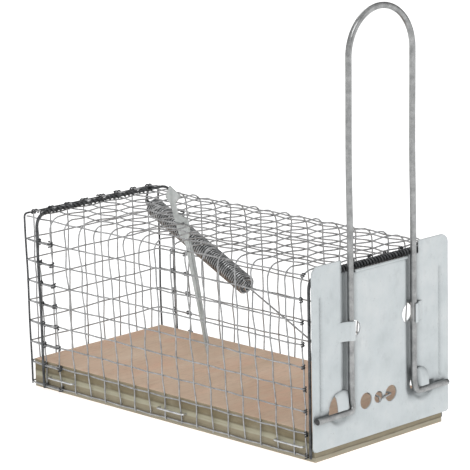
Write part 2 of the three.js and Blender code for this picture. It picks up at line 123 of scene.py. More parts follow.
class Build:
    """Collects vertices and faces, in millimetres, for one mesh object."""

    def __init__(self):
        self.verts = []
        self.faces = []
        self.slots = []

    def add(self, verts, faces, slot=0):
        start = len(self.verts)
        self.verts.extend([tuple(v) for v in verts])
        self.faces.extend([tuple(start + i for i in face) for face in faces])
        self.slots.extend([slot] * len(faces))

    def tube(self, points, radius, sides=8, cap_slot=0):
        """Sweeps a round section along points, with a dome on each end."""
        points = np.array(points, float)
        count = len(points)
        radii = np.full(count, radius) if np.isscalar(radius) else np.array(radius, float)
        tangents = np.gradient(points, axis=0)
        tangents /= np.linalg.norm(tangents, axis=1)[:, None]
        across = np.cross(tangents[0], ODD_DIRECTION)
        across /= np.linalg.norm(across)
        turns = np.linspace(0, 2 * math.pi, sides, endpoint=False)
        cos, sin = np.cos(turns)[:, None], np.sin(turns)[:, None]
        rings = []
        for point, tangent, reach in zip(points, tangents, radii):
            across = across - tangent * np.dot(across, tangent)
            across /= np.linalg.norm(across)
            rings.append(point + reach * (cos * across + sin * np.cross(tangent, across)))
        faces = []
        for here in range(0, (count - 1) * sides, sides):
            for k in range(sides):
                n = (k + 1) % sides
                faces.append((here + k, here + n, here + sides + n, here + sides + k))
        self.add(np.concatenate(rings), faces)
        for end, sign in ((0, -1), (count - 1, 1)):
            base, middle = rings[end], points[end]
            out = tangents[end] * sign * radii[end]
            inner = middle + (base - middle) * DOME_RING + out * DOME_RING_OUT
            caps = []
            for k in range(sides):
                n = (k + 1) % sides
                caps.append((k, n, sides + n, sides + k))
                caps.append((sides + k, sides + n, 2 * sides))
            if sign < 0:
                caps = [face[::-1] for face in caps]
            self.add(np.concatenate([base, inner, [middle + out * DOME_TIP_OUT]]), caps, cap_slot)

    def object(self, name, *materials, merge=0.0005):
        mesh = bpy.data.meshes.new(name)
        mesh.from_pydata([(x * MM, y * MM, z * MM) for x, y, z in self.verts], [], self.faces)
        for material in materials:
            mesh.materials.append(material)
        mesh.polygons.foreach_set("material_index", self.slots)
        mesh.polygons.foreach_set("use_smooth", [True] * len(mesh.polygons))
        mesh.update()
        obj = bpy.data.objects.new(name, mesh)
        bpy.context.scene.collection.objects.link(obj)
        if merge:
            weld(obj, merge)
        return obj


def weld(obj, distance_mm):
    """Joins vertices that coincide and points every face outward."""
    work = bmesh.new()
    work.from_mesh(obj.data)
    bmesh.ops.remove_doubles(work, verts=work.verts, dist=distance_mm * MM)
    bmesh.ops.recalc_face_normals(work, faces=work.faces)
    work.to_mesh(obj.data)
    work.free()


def apply_modifier(obj, kind, **settings):
    modifier = obj.modifiers.new(kind.lower(), kind)
    for key, value in settings.items():
        setattr(modifier, key, value)
    graph = bpy.context.evaluated_depsgraph_get()
    obj.data = bpy.data.meshes.new_from_object(obj.evaluated_get(graph))
    obj.modifiers.clear()


def soften(obj, width_mm, angle):
    """Rounds the edges that turn by more than angle, in degrees."""
    apply_modifier(obj, "BEVEL", width=width_mm * MM, segments=2, limit_method="ANGLE",
                   angle_limit=math.radians(angle))


def arc(centre, u, v, radius, start, stop, steps):
    """Points of an arc in the plane of u and v, angles in degrees."""
    angles = np.radians(np.linspace(start, stop, steps + 1))
    centre, u, v = (np.array(part, float) for part in (centre, u, v))
    return [centre + radius * (math.cos(a) * u + math.sin(a) * v) for a in angles]


def rounded(points, radius, steps=6):
    """Straight runs between points with a circular bend at each inner point."""
    points = [np.array(p, float) for p in points]
    result = [points[0]]
    for before, corner, after in zip(points, points[1:], points[2:]):
        a = (before - corner) / np.linalg.norm(before - corner)
        b = (after - corner) / np.linalg.norm(after - corner)
        trim = radius / math.tan(math.acos(np.clip(np.dot(a, b), -1, 1)) / 2)
        trim = min(trim, 0.49 * np.linalg.norm(before - corner), 0.49 * np.linalg.norm(after - corner))
        for t in np.linspace(0, 1, steps + 1):
            first, last = corner + a * trim, corner + b * trim
            result.append((1 - t) ** 2 * first + 2 * t * (1 - t) * corner + t ** 2 * last)
    result.append(points[-1])
    return result


def densify(points, step):
    """Adds points so that no segment is longer than step."""
    points = [np.array(p, float) for p in points]
    result = [points[0]]
    for a, b in zip(points, points[1:]):
        count = max(1, int(math.ceil(np.linalg.norm(b - a) / step)))
        for k in range(1, count + 1):
            result.append(a + (b - a) * k / count)
    return result


def helix_round(start, end, radius, turns, phase=0.0, per_turn=10):
    """A helix round the straight line from start to end."""
    start, end = np.array(start, float), np.array(end, float)
    axis = (end - start) / np.linalg.norm(end - start)
    u = np.cross(axis, [0.3, 0.2, 0.93])
    u /= np.linalg.norm(u)
    v = np.cross(axis, u)
    count = max(2, int(turns * per_turn))
    result = []
    for k in range(count + 1):
        angle = phase + 2 * math.pi * turns * k / count
        along = start + (end - start) * k / count
        result.append(along + radius * (math.cos(angle) * u + math.sin(angle) * v))
    return result


def grid_faces(columns, rows):
    """Quads over vertices that run column by column, rows + 1 to a column."""
    faces = []
    for i in range(columns):
        for j in range(rows):
            a = i * (rows + 1) + j
            b = a + rows + 1
            faces.append((a, b, b + 1, a + 1))
    return faces


# ---- materials
def set_inputs(node, values):
    for key, value in values.items():
        node.inputs[key].default_value = value


class Nodes:
    """Short names for building a material's node tree."""

    def __init__(self, name):
        self.material = bpy.data.materials.new(name)
        self.material.use_nodes = True
        self.tree = self.material.node_tree
        self.shader = self.tree.nodes["Principled BSDF"]
        self.coords = self.add("ShaderNodeTexCoord").outputs["Object"]

    def add(self, kind, **settings):
        node = self.tree.nodes.new(kind)
        for key, value in settings.items():
            setattr(node, key, value)
        return node

    def link(self, source, target):
        self.tree.links.new(source, target)

    def mapped(self, scale, rotation=(0, 0, 0)):
        node = self.add("ShaderNodeMapping")
        turned = [math.radians(angle) for angle in rotation]
        set_inputs(node, {"Scale": scale, "Rotation": turned})
        self.link(self.coords, node.inputs["Vector"])
        return node.outputs["Vector"]

    def noise(self, vector, scale, detail=4.0, roughness=0.55):
        node = self.add("ShaderNodeTexNoise")
        set_inputs(node, {"Scale": scale, "Detail": detail, "Roughness": roughness})
        self.link(vector, node.inputs["Vector"])
        return node.outputs["Fac"]

    def ramp(self, value, stops):
        node = self.add("ShaderNodeValToRGB")
        elements = node.color_ramp.elements
        while len(elements) < len(stops):
            elements.new(0.5)
        for element, (place, colour) in zip(elements, stops):
            element.position = place
            element.color = (*colour, 1)
        self.link(value, node.inputs["Fac"])
        return node.outputs["Color"]

    def level(self, value, low, high, from_low=0.0, from_high=1.0):
        node = self.add("ShaderNodeMapRange")
        limits = {"From Min": from_low, "From Max": from_high, "To Min": low, "To Max": high}
        set_inputs(node, limits)
        self.link(value, node.inputs["Value"])
        return node.outputs["Result"]

    def mix(self, factor, a, b, blend="MIX"):
        node = self.add("ShaderNodeMix", data_type="RGBA", blend_type=blend)
        if isinstance(factor, float):
            node.inputs["Factor"].default_value = factor
        else:
            self.link(factor, node.inputs["Factor"])
        for value, socket in ((a, node.inputs[6]), (b, node.inputs[7])):
            if isinstance(value, tuple):
                socket.default_value = (*value, 1)
            else:
                self.link(value, socket)
        return node.outputs[2]

    def bump(self, value, strength, distance_mm):
        node = self.add("ShaderNodeBump")
        set_inputs(node, {"Strength": strength, "Distance": distance_mm * MM})
        self.link(value, node.inputs["Height"])
        self.link(node.outputs["Normal"], self.shader.inputs["Normal"])

    def with_painted_shade(self, colour, reach_mm, dark=0.25):
        """Darkens the colour where other surfaces stand close by: painted shade in grooves, creases and
        gaps between parts.
        """
        # painted shade: an ambient occlusion node darkens the colour, not real dirt
        closeness = self.add("ShaderNodeAmbientOcclusion", samples=8)
        closeness.inputs["Distance"].default_value = reach_mm * MM
        return self.mix(self.level(closeness.outputs["AO"], 1.0, 0.0, 0.25, 0.95), colour,
                        (dark, dark, dark), "MULTIPLY")

    def finish(self, colour, roughness, metallic):
        self.link(colour, self.shader.inputs["Base Color"])
        if isinstance(roughness, float):
            self.shader.inputs["Roughness"].default_value = roughness
        else:
            self.link(roughness, self.shader.inputs["Roughness"])
        self.shader.inputs["Metallic"].default_value = metallic
        return self.material


def wire_steel(name, dark, light, rough=(0.3, 0.5), metallic=0.85, shade=0.0):
    """Drawn wire: blotchy zinc with fine specks; with shade set, painted shade where other surfaces stand
    close by.
    """
    n = Nodes(name)
    blotch = n.noise(n.coords, 260, 5)
    fine = n.noise(n.coords, 1900, 3)
    tone = n.ramp(blotch, [(0.32, dark), (0.68, light)])
    speck = n.ramp(fine, [(0.35, (0.72, 0.72, 0.72)), (0.6, (1, 1, 1))])
    colour = n.mix(0.7, tone, speck, "MULTIPLY")
    # painted shade where other wires or parts stand within the shade reach
    if shade:
        colour = n.with_painted_shade(colour, shade, 0.12)
    n.bump(fine, 0.25, 0.06)
    return n.finish(colour, n.level(blotch, *rough), metallic)


def galvanised_sheet():
    """Cold blue-grey zinc with faint spangle, rolling streaks and grey handling marks, and painted shade in
    its grooves and where parts stand close.
    """
    n = Nodes("galvanised_sheet")
    spangle = n.add("ShaderNodeTexVoronoi", feature="F1")
    spangle.inputs["Scale"].default_value = 330
    n.link(n.coords, spangle.inputs["Vector"])
    cell = n.level(spangle.outputs["Color"], 0.0, 1.0)
    streak = n.noise(n.mapped((700, 700, 60)), 1.0, 4)
    cloud = n.noise(n.coords, 55, 6, 0.62)
    smudge = n.noise(n.mapped((1, 1, 0.7)), 130, 5, 0.7)
    base = n.ramp(cloud, [(0.3, (0.445, 0.48, 0.49)), (0.5, (0.515, 0.55, 0.56)),
                          (0.72, (0.585, 0.61, 0.615))])
    toned = n.mix(n.level(cell, 0.0, 0.16), base, (0.5, 0.54, 0.56))
    streaked = n.mix(n.level(streak, 0.0, 0.3, 0.45, 0.75), toned, (0.52, 0.57, 0.59))
    dirty = n.mix(n.level(smudge, 0.0, 0.6, 0.55, 0.8), streaked, (0.38, 0.41, 0.42))
    speck = n.noise(n.coords, 900, 2)
    dirty = n.mix(n.level(speck, 0.0, 0.55, 0.68, 0.78), dirty, (0.3, 0.32, 0.33))
    n.bump(streak, 0.12, 0.05)
    # painted shade: the colour darkens in the grooves and wherever another part stands within 5 mm
    return n.finish(n.with_painted_shade(dirty, 5.0, 0.3), n.level(cloud, 0.38, 0.52), 0.55)


def plywood_face(n):
    """Pinkish veneer with short dark pores across the board."""
    broad = n.noise(n.mapped((9, 38, 9), (0, 0, -9)), 1.0, 3, 0.6)
    grain = n.noise(n.mapped((95, 780, 95), (0, 0, -9)), 1.0, 6, 0.68)
    pore = n.noise(n.mapped((190, 1500, 190), (0, 0, -9)), 1.0, 3, 0.6)
    patch = n.noise(n.mapped((26, 60, 26), (0, 0, 12)), 1.0, 4, 0.6)
    base = n.ramp(broad, [(0.3, (0.6, 0.435, 0.315)), (0.55, (0.68, 0.515, 0.385)),
                          (0.75, (0.74, 0.59, 0.46))])
    warm = n.mix(n.level(patch, 0.0, 0.5, 0.45, 0.75), base, (0.72, 0.42, 0.29))
    grained = n.mix(n.level(grain, 0.0, 0.55, 0.5, 0.8), warm, (0.42, 0.27, 0.17))
    pored = n.mix(n.level(pore, 0.0, 0.5, 0.58, 0.8), grained, (0.32, 0.2, 0.13))
    return pored, grain


def plywood():
    """Veneer on the top and bottom, stacked plies with end and long grain on the edges."""
    n = Nodes("plywood")
    face, grain = plywood_face(n)
    place = n.add("ShaderNodeSeparateXYZ")
    n.link(n.coords, place.inputs[0])
    waver = n.noise(n.mapped((30, 30, 30)), 1.0, 3)
    height = n.add("ShaderNodeMath", operation="MULTIPLY_ADD")
    n.link(waver, height.inputs[0])
    height.inputs[1].default_value = PLY_WAVER
    n.link(place.outputs["Z"], height.inputs[2])
    layer = n.level(height.outputs[0], 0.0, 1.0, 0.0, BOARD_HIGH[2] * MM + PLY_WAVER)
    plies = n.ramp(layer, PLIES)
    fibre = n.noise(n.mapped((60, 60, 900)), 1.0, 5, 0.7)
    blot = n.noise(n.mapped((70, 70, 200)), 1.0, 5, 0.7)
    edge = n.mix(n.level(fibre, 0.0, 0.55, 0.45, 0.8), plies, (0.16, 0.125, 0.075))
    edge = n.mix(n.level(blot, 0.0, 0.45, 0.5, 0.8), edge, (0.42, 0.39, 0.29))
    geometry = n.add("ShaderNodeNewGeometry")
    facing = n.add("ShaderNodeSeparateXYZ")
    n.link(geometry.outputs["Normal"], facing.inputs[0])
    upright = n.add("ShaderNodeMath", operation="ABSOLUTE")
    n.link(facing.outputs["Z"], upright.inputs[0])
    top = n.level(upright.outputs[0], 0.0, 1.0, 0.35, 0.75)
    colour = n.mix(top, edge, face)
    n.bump(grain, 0.35, 0.12)
    return n.finish(colour, n.level(grain, 0.7, 0.85), 0.0)


def trigger_steel():
    """Grey-green zinc strip, duller than the door."""
    n = Nodes("trigger_strip")
    cloud = n.noise(n.coords, 240, 5, 0.65)
    streak = n.noise(n.mapped((500, 500, 70)), 1.0, 4)
    base = n.ramp(cloud, [(0.3, (0.4, 0.42, 0.41)), (0.7, (0.56, 0.58, 0.57))])
    colour = n.mix(n.level(streak, 0.0, 0.5, 0.45, 0.8), base, (0.27, 0.29, 0.28))
    n.bump(cloud, 0.15, 0.08)
    return n.finish(colour, n.level(cloud, 0.35, 0.5), 0.6)


PLY_WAVER = 0.0016  # metres
PLIES = [
    (0.0, (0.34, 0.3, 0.22)), (0.17, (0.36, 0.33, 0.25)), (0.2, (0.13, 0.105, 0.07)),
    (0.24, (0.27, 0.235, 0.16)), (0.4, (0.29, 0.25, 0.17)), (0.43, (0.4, 0.38, 0.28)),
    (0.55, (0.35, 0.33, 0.235)), (0.6, (0.15, 0.125, 0.075)), (0.66, (0.2, 0.165, 0.095)),
    (0.82, (0.22, 0.18, 0.105)), (0.86, (0.31, 0.26, 0.17)), (1.0, (0.34, 0.27, 0.18)),
]

MESH_STEEL = wire_steel("mesh_wire", (0.3, 0.302, 0.305), (0.52, 0.525, 0.53))
# Near-black wire for the frame wires and links; on the twisted ties, knots and wraps it is painted shade of
# their tight crevices.
DARK_STEEL = wire_steel("dark_wire", (0.05, 0.052, 0.055), (0.15, 0.155, 0.16), (0.4, 0.6))
BAIL_STEEL = wire_steel("bail_wire", (0.26, 0.265, 0.265), (0.41, 0.415, 0.415), (0.26, 0.38), 0.95)
# The spring gets painted shade between and inside its coils.
SPRING_STEEL = wire_steel("spring_wire", (0.2, 0.205, 0.21), (0.5, 0.505, 0.51), (0.2, 0.32), 0.95, 1.6)
ZINC_STEEL = wire_steel("staple_wire", (0.5, 0.51, 0.52), (0.75, 0.76, 0.77), (0.25, 0.38), 0.85)
CUT_END = wire_steel("cut_end", (0.03, 0.03, 0.032), (0.08, 0.08, 0.082), (0.5, 0.6), 0.6)
DOOR_STEEL = galvanised_sheet()
PLYWOOD = plywood()
TRIGGER_STEEL = trigger_steel()


def place(obj, body, slot, *nodes):
    """Puts a finished piece on its body, in place of its CAD nodes; the slot is not used."""
    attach(obj, body)
    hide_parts(*nodes)
    return obj


# ---- the mesh's cross-section
class Section:
    """The cage's outline in X and Z, by distance s from the left foot over to the right one."""

    def __init__(self):
        self.straight = ROOF_Z - BEND - FOOT_Z
        self.curve = BEND * math.pi / 2
        self.flat = 2 * (WALL_X - BEND)
        self.length = 2 * (self.straight + self.curve) + self.flat

    def at(self, s):
        """(x, z) and the outward (x, z) direction at s."""
        if s > self.length / 2:
            (x, z), (nx, nz) = self.at(self.length - s)
            return (-x, z), (-nx, nz)
        if s <= self.straight:
            return (-WALL_X, FOOT_Z + s), (-1.0, 0.0)
        s -= self.straight
        if s <= self.curve:
            turn = s / BEND
            nx, nz = -math.cos(turn), math.sin(turn)
            return (-WALL_X + BEND + BEND * nx, ROOF_Z - BEND + BEND * nz), (nx, nz)
        return (-WALL_X + BEND + s - self.curve, ROOF_Z), (0.0, 1.0)

    def stations(self):
        """The s of each lengthways wire."""
        left = [z - FOOT_Z for z in RAIL_Z] + [self.straight + self.curve / 2]
        right = [self.length - s for s in reversed(left)]
        roof = [self.straight + self.curve + x + WALL_X - BEND for x in RAIL_ROOF_X]
        return left + roof + right


SECTION = Section()
STATIONS = SECTION.stations()


def lean_of(hoop, s):
    """How far back hoop number `hoop` stands at s."""
    last = len(HOOP_Y) - 1
    share = {0: 0.45, last: 0.4, last - 1: 0.7}.get(hoop, 1.0)
    top = SECTION.straight + SECTION.curve
    if s <= top:
        lean = LEAN_LEFT * s / top
    elif s >= SECTION.length - top:
        lean = LEAN_RIGHT * (SECTION.length - s) / top
    else:
        across = (s - top) / SECTION.flat
        lean = LEAN_LEFT + (LEAN_RIGHT - LEAN_LEFT) * across
    return share * lean


def holds_trigger(hoop):
    """Whether the trigger hangs on hoop number `hoop`."""
    return abs(HOOP_Y[hoop] - PIVOT[1]) < 1


def hoop_y(hoop, s):
    """Where hoop number `hoop` runs at s: it leans back, wanders and dips to the trigger's pivot."""
    x, z = SECTION.at(s)[0]
    y = HOOP_Y[hoop] + lean_of(hoop, s) + SWAY * wobble(hoop + 3, s / 16)
    if holds_trigger(hoop) and z > ROOF_Z - 1:
        pull = math.exp(-((x - PIVOT[0]) / 11) ** 2)
        y += (PIVOT[1] - y) * pull
    return y


def bulge(hoop, s):
    """Slow dents of the cage's skin, none at the board's edge."""
    z = SECTION.at(s)[0][1]
    free = min(1.0, max(0.0, (z - 22) / 30))
    if z > ROOF_Z - BEND:
        free *= 0.25 + 0.75 * min(1.0, (ROOF_Z - z) / BEND)
    return 0.4 * free * wobble(hoop * 0.37 + s / 60, s / 40)


def skin(hoop, s, off):
    """The point at s on hoop number `hoop`, off millimetres outside the mesh's middle plane."""
    (x, z), (nx, nz) = SECTION.at(s)
    out = off + bulge(hoop, s)
    return np.array([x + nx * out, hoop_y(hoop, s), z + nz * out])


def crossing(hoop, station):
    """+1 where the hoop lies outside the lengthways wire, -1 where it lies inside."""
    if holds_trigger(hoop) and abs(RAIL_ROOF_X[2] - SECTION.at(STATIONS[station])[0][0]) < 1:
        return 1
    return 1 if (hoop + station) % 2 else -1


def bowed(t):
    """The share of the way from one crossing's height to the next."""
    return (1 - math.cos(math.pi * t)) / 2


def hoop_path(hoop, step=2.2):
    """A hoop from foot to foot, bowed in and out between the lengthways wires."""
    marks = [0.0] + STATIONS + [SECTION.length]
    signs = [0.0] + [crossing(hoop, k) for k in range(len(STATIONS))] + [0.0]
    path = []
    for (a, b), (p, q) in zip(zip(marks, marks[1:]), zip(signs, signs[1:])):
        count = max(2, int(round((b - a) / step)))
        for k in range(count):
            t = k / count
            path.append(skin(hoop, a + (b - a) * t, CRIMP * (p + (q - p) * bowed(t))))
    path.append(skin(hoop, SECTION.length, 0.0))
    return path


def rail_path(station, steps=5):
    """A lengthways wire from the front edge to the back corner, bowed the other way."""
    s = STATIONS[station]
    nx, nz = SECTION.at(s)[1]
    path = []
    last = len(HOOP_Y) - 1
    for hoop in range(last):
        p, q = -crossing(hoop, station), -crossing(hoop + 1, station)
        for k in range(steps):
            t = k / steps
            here, there = skin(hoop, s, CRIMP * p), skin(hoop + 1, s, CRIMP * q)
            point = here + (there - here) * t
            extra = CRIMP * (p + (q - p) * bowed(t)) - CRIMP * (p + (q - p) * t)
            point = point + np.array([nx, 0, nz]) * extra
            sway = SWAY * wobble(station + 5, (hoop + t) / 1.9)
            point = point + np.array([nz, 0, -nx]) * sway
            path.append(point)
    path.append(skin(last, s, -CRIMP * crossing(last, station)))
    return path


# ---- cage
def swayed(point, share):
    """The point, moved along Y by a share of a frame wire's small bends."""
    return point + np.array([0, 0.35 * share, 0])


def cage_mesh():
    """Woven hoops and lengthways wires of the walls and the roof."""
    hoops = Build()
    last = len(HOOP_Y) - 1
    for hoop in range(last):
        hoops.tube(hoop_path(hoop), WIRE_R, 7)
    hoops_obj = hoops.object("mesh_hoops", MESH_STEEL)
    corner = Build()
    left, right = SECTION.straight, SECTION.length - SECTION.straight
    path = [(-WALL_X, CORNER_Y, FOOT_Z), (-WALL_X, CORNER_Y + lean_of(last, left), ROOF_Z),
            (WALL_X, CORNER_Y + lean_of(last, right), ROOF_Z), (WALL_X, CORNER_Y, FOOT_Z)]
    line = densify(rounded(path, 2.4), 5)
    corner.tube([swayed(p, wobble(9, (p[0] + p[2]) / 14)) for p in line], 0.6, 8)
    place(corner.object("mesh_corner_hoop", DARK_STEEL), "cage", "mesh_wire")
    rails = Build()
    knots = Build()
    for station, s in enumerate(STATIONS):
        rails.tube(rail_path(station), WIRE_R, 7)
        (_, z), (nx, nz) = SECTION.at(s)
        along = np.array([nz, 0, -nx])
        drop, lay = (-0.45, 0.68) if z > ROOF_Z - 1 else (0.0, 0.85)
        front = skin(0, s, drop)
        # The knots are near-black: painted shade of their crevices.
        twist = helix_round(front - along * 1.3, front + along * 1.6, lay, 2.2, station, 9)
        knots.tube(twist, 0.36, 6)
    rails_obj = rails.object("mesh_rails", MESH_STEEL)
    knots_obj = knots.object("mesh_front_knots", DARK_STEEL)
    walls = ("mesh_left_wall", "mesh_right_wall", "mesh_roof_edge_left", "mesh_roof_edge_right")
    place(hoops_obj, "cage", "mesh_wire", *walls)
    place(rails_obj, "cage", "mesh_wire", "mesh_roof")
    place(knots_obj, "cage", "mesh_wire")


def back_mesh():
    """The back panel: verticals that fold over on to the roof, rows that wrap the corners."""
    # Near-black twisted ties: painted shade of their crevices.
    wires = Build()
    dark = Build()
    roof_y = back_y(ROOF_Z)
    for k, x in enumerate(BACK_X):
        path = [(x, BACK_Y, FOOT_Z)]
        for row, z in enumerate(RAIL_Z):
            y = back_y(z) + CRIMP * (-1) ** (k + row)
            path.append((x + 0.3 * wobble(k, row), y, z))
        top = ROOF_Z + 0.6 + 0.4 * wobble(k, 3)
        path += [(x, roof_y, top), (x + 0.8, REAR_Y + LEAN_REAR + 1.2, top + 0.9)]
        wires.tube(rounded(densify(path, 20), 2.0, 4), WIRE_R, 7)
        low, high = (x - 2.2, roof_y - 0.6, top - 0.2), (x + 2.6, roof_y - 0.8, top - 0.4)
        dark.tube(helix_round(low, high, 1.1, 2.3, k), TIE_R, 6)
    corner = WALL_X + 0.2
    for row, z in enumerate(RAIL_Z):
        tail_y = HOOP_Y[-3] + lean_of(len(HOOP_Y) - 3, z)
        tail = [(corner + 0.9, tail_y, z - 0.6), (corner + 0.8, REAR_Y + 3, z - 0.3),
                (corner + 0.4, BACK_Y - 3, z), (corner - 1.5, back_y(z) + 0.2, z)]
        middle = [(x, back_y(z) - CRIMP * (-1) ** (k + row), z + 0.3 * wobble(row, k))
                  for k, x in enumerate(BACK_X)]
        whole = [(-x, y, tail_z) for x, y, tail_z in tail] + middle + tail[::-1]
        wires.tube(rounded(whole, 1.4, 4), WIRE_R, 7)
        for x in (-WALL_X - 0.4, WALL_X + 0.4):
            for y, turns in ((tail_y, 1.8), (rear_y(z), 2.6)):
                tie = helix_round((x, y, z - 1.6), (x, y, z + 1.4), 1.25, turns, row)
                dark.tube(tie, TIE_R, 6)
    top_edge = [(x, roof_y + 0.4 * wobble(2, x / 9), ROOF_Z + 0.2)
                for x in np.linspace(-WALL_X + 4, WALL_X - 4, 30)]
    wires.tube(top_edge, WIRE_R, 7)
    place(wires.object("back_mesh_wires", MESH_STEEL), "cage", "mesh_wire", "mesh_back_wall")
    place(dark.object("back_mesh_ties", DARK_STEEL), "cage", "mesh_wire")


def back_y(z):
    """Where the back panel stands at height z."""
    return BACK_Y + LEAN_PANEL * max(0.0, z) / ROOF_Z


def rear_y(z):
    """Where the rear hoop stands at height z."""
    return REAR_Y + LEAN_REAR * max(0.0, z) / ROOF_Z


def rear_hoop():
    """The thick rear hoop outside the mesh, with the mesh's ends twisted round its top."""
    radius = 0.8
    x, z = REAR_HIGH[0] - radius, REAR_HIGH[2] - radius
    outline = [(-x, 2.6), (-x, z), (x, z), (x, 2.6)]
    path = rounded([(px, rear_y(pz), pz) for px, pz in outline], BEND + 1.6, 10)
    bent = [swayed(p, wobble(4, p[0] / 12 + p[2] / 16)) for p in densify(path, 6)]
    build = Build()
    build.tube(bent, radius, 10)
    y = REAR_Y + LEAN_REAR
    for k, centre in enumerate(BACK_X[:-1]):
        lay = 1.15 + 0.12 * wobble(k, 1)
        # The twists share the hoop's near-black wire, which on them is painted shade of their crevices.
        twist = helix_round((centre - 5.4, y, z), (centre + 5.6, y, z - 0.1), lay, 3.4, 2.1 * k, 12)
        build.tube(twist, 0.48, 6)
    place(build.object("rear_hoop_wire", DARK_STEEL), "cage", "frame_wire", "rear_hoop")


def front_hoop():
    """The door's hinge hoop, with the roof mesh's front ends wound round its top."""
    x, y, z = FRONT_HIGH[0] - HOOP_R, HINGE_Y, HINGE_Z
    path = densify(rounded([(-x, y, 2.6), (-x, y, z), (x, y, z), (x, y, 2.6)], 8, 10), 8)
    upright_r = 0.85
    build = Build()
    build.tube(path, [upright_r + (HOOP_R - upright_r) * smooth((p[2] - z + 9) / 9) for p in path], 12)
    reach = 31.5
    # The wrap shares the hoop's near-black wire, which on it is painted shade of the wound roll's crevices.
    build.tube(helix_round((-reach, y, z), (reach, y, z), 1.75, 27, 0.4, 10), 0.62, 6)
    place(build.object("front_hoop_wire", DARK_STEEL), "cage", "frame_wire", "front_hoop")


# ---- board and staples
def board():
    """The plywood board with softened, slightly furry edges."""
    low, high = BOARD_LOW, BOARD_HIGH
    steps = (26, 57, 7)
    edge_zone = 0.6
    build = Build()
    axes = [np.linspace(low[a], high[a], steps[a] + 1) for a in range(3)]
    for fixed in range(3):
        u, v = [a for a in range(3) if a != fixed]
        for value in (low[fixed], high[fixed]):
            verts = []
            for p in axes[u]:
                for q in axes[v]:
                    point = [0.0, 0.0, 0.0]
                    point[fixed], point[u], point[v] = value, p, q
                    verts.append(point)
            build.add(verts, grid_faces(steps[u], steps[v]))
    obj = build.object("plywood_board", PLYWOOD)
    soften(obj, 0.5, 30)
    for vertex in obj.data.vertices:
        x, y, z = (c / MM for c in vertex.co)
        in_x, in_y = high[0] - abs(x), high[1] - abs(y)
        if min(in_x, in_y) < edge_zone and 1 < z < high[2] - 1:
            dent = 0.09 * (1 + wobble(2, x / 2.3 + y / 3.1 + z * 1.9))
            if in_x < in_y:
                vertex.co.x -= math.copysign(dent * MM, x)
            else:
                vertex.co.y -= math.copysign(dent * MM, y)
    obj.data.polygons.foreach_set("use_smooth", [False] * len(obj.data.polygons))
    place(obj, "cage", "plywood", "base_board")


def staples():
    """Bright staples: a flat-topped crown with two legs that go into the board."""
    radius = 0.6
    for node in sorted(frame["nodes"]):
        if not node.startswith("staple_"):
            continue
        low, high = box_mm(node)
        middle = (low + high) / 2
        across = 0 if high[0] - low[0] > high[1] - low[1] else 1
        out = 1 - across
        reach = (high[across] - low[across]) / 2 - radius
        sign = 1 if middle[out] > 0 else -1
        crown = (high[out] if sign > 0 else low[out]) - sign * 0.62
        foot = (low[out] if sign > 0 else high[out]) + sign * 0.5
        path = []
        for end, depth in ((-1, foot), (-1, crown), (1, crown), (1, foot)):
            point = np.array([0.0, 0.0, middle[2]])
            point[across] = middle[across] + end * reach
            point[out] = depth
            path.append(point)
        build = Build()
        build.tube(densify(rounded(path, 1.3, 5), 4), radius, 10)
        build.verts = [(x, y, middle[2] + (z - middle[2]) * 0.95) for x, y, z in build.verts]
        place(build.object(node + "_wire", ZINC_STEEL), "cage", "staple_steel", node)


# ---- door
EYE_X, EYE_Z, EYE_R = 33.5, 27.0, 9.5  # behind the bail's elbows
MID_Z = 69.0
MID_HOLES = [(-22.0, 4.6), (22.2, 5.6)]  # x and radius, beside the straps
HOOK_Z = 26.8
HOOKS = [(-13, 4.6), (-3, 3.3), (7, 4.6)]  # x and radius, the row that the hook wire goes through
PANEL_TOP, STRIP_TOP, STRIP_X = 101.0, 108.5, 31.0
DOOR_HALF, DOOR_LOW = 54.4, 6.5
GROOVE_IN, GROOVE_OUT, GROOVE_DEPTH, GROOVE_LOW = 6.3, 7.9, 2.9, 17.0
RIB_X, RIB_HALF, RIB_LOW, RIB_HIGH, RIB_DEPTH, RIB_END = 48, 1.4, 26, 93, 1.15, 3
DISH_DEPTH, DISH_SLOPE = 1.7, 2.0
EDGE_X, EDGE_SLOPE, EDGE_TURN = 50.5, 3.5, 0.35
CURL_X = 36.3


def smooth(t):
    """A ramp from 0 to 1 with soft ends."""
    t = min(1.0, max(0.0, t))
    return t * t * (3 - 2 * t)


def door_relief(x, z):
    """How far the door's face lies behind its flat front, in millimetres."""
    depth = 0.0
    for side in (-1, 1):
        away = (side * x) - LEG_X
        half = GROOVE_OUT if away > 0 else GROOVE_IN
        fade = smooth((z - GROOVE_LOW) / 9.0)
        if abs(away) < half:
            near = 1 - abs(away) / half
            wall, floor = smooth(near / 0.35), smooth((near - 0.3) / 0.45)
            depth += GROOVE_DEPTH * fade * (0.3 * wall + 0.7 * floor)
        rib = abs(side * x - RIB_X)
        if rib < RIB_HALF and RIB_LOW < z < RIB_HIGH:
            ends = smooth((z - RIB_LOW) / RIB_END) * smooth((RIB_HIGH - z) / RIB_END)
            depth += RIB_DEPTH * ends * (0.5 + 0.5 * math.cos(math.pi * rib / RIB_HALF))
        from_eye = math.hypot(side * x - EYE_X, z - EYE_Z)
        if from_eye < EYE_R and z < EYE_Z:
            depth = max(depth, DISH_DEPTH * smooth((EYE_R - from_eye) / DISH_SLOPE))
        if side * x > EDGE_X:
            depth -= side * EDGE_TURN * smooth((side * x - EDGE_X) / EDGE_SLOPE)
    depth += 0.12 * wobble(1, x / 21 + z / 17)
    return depth


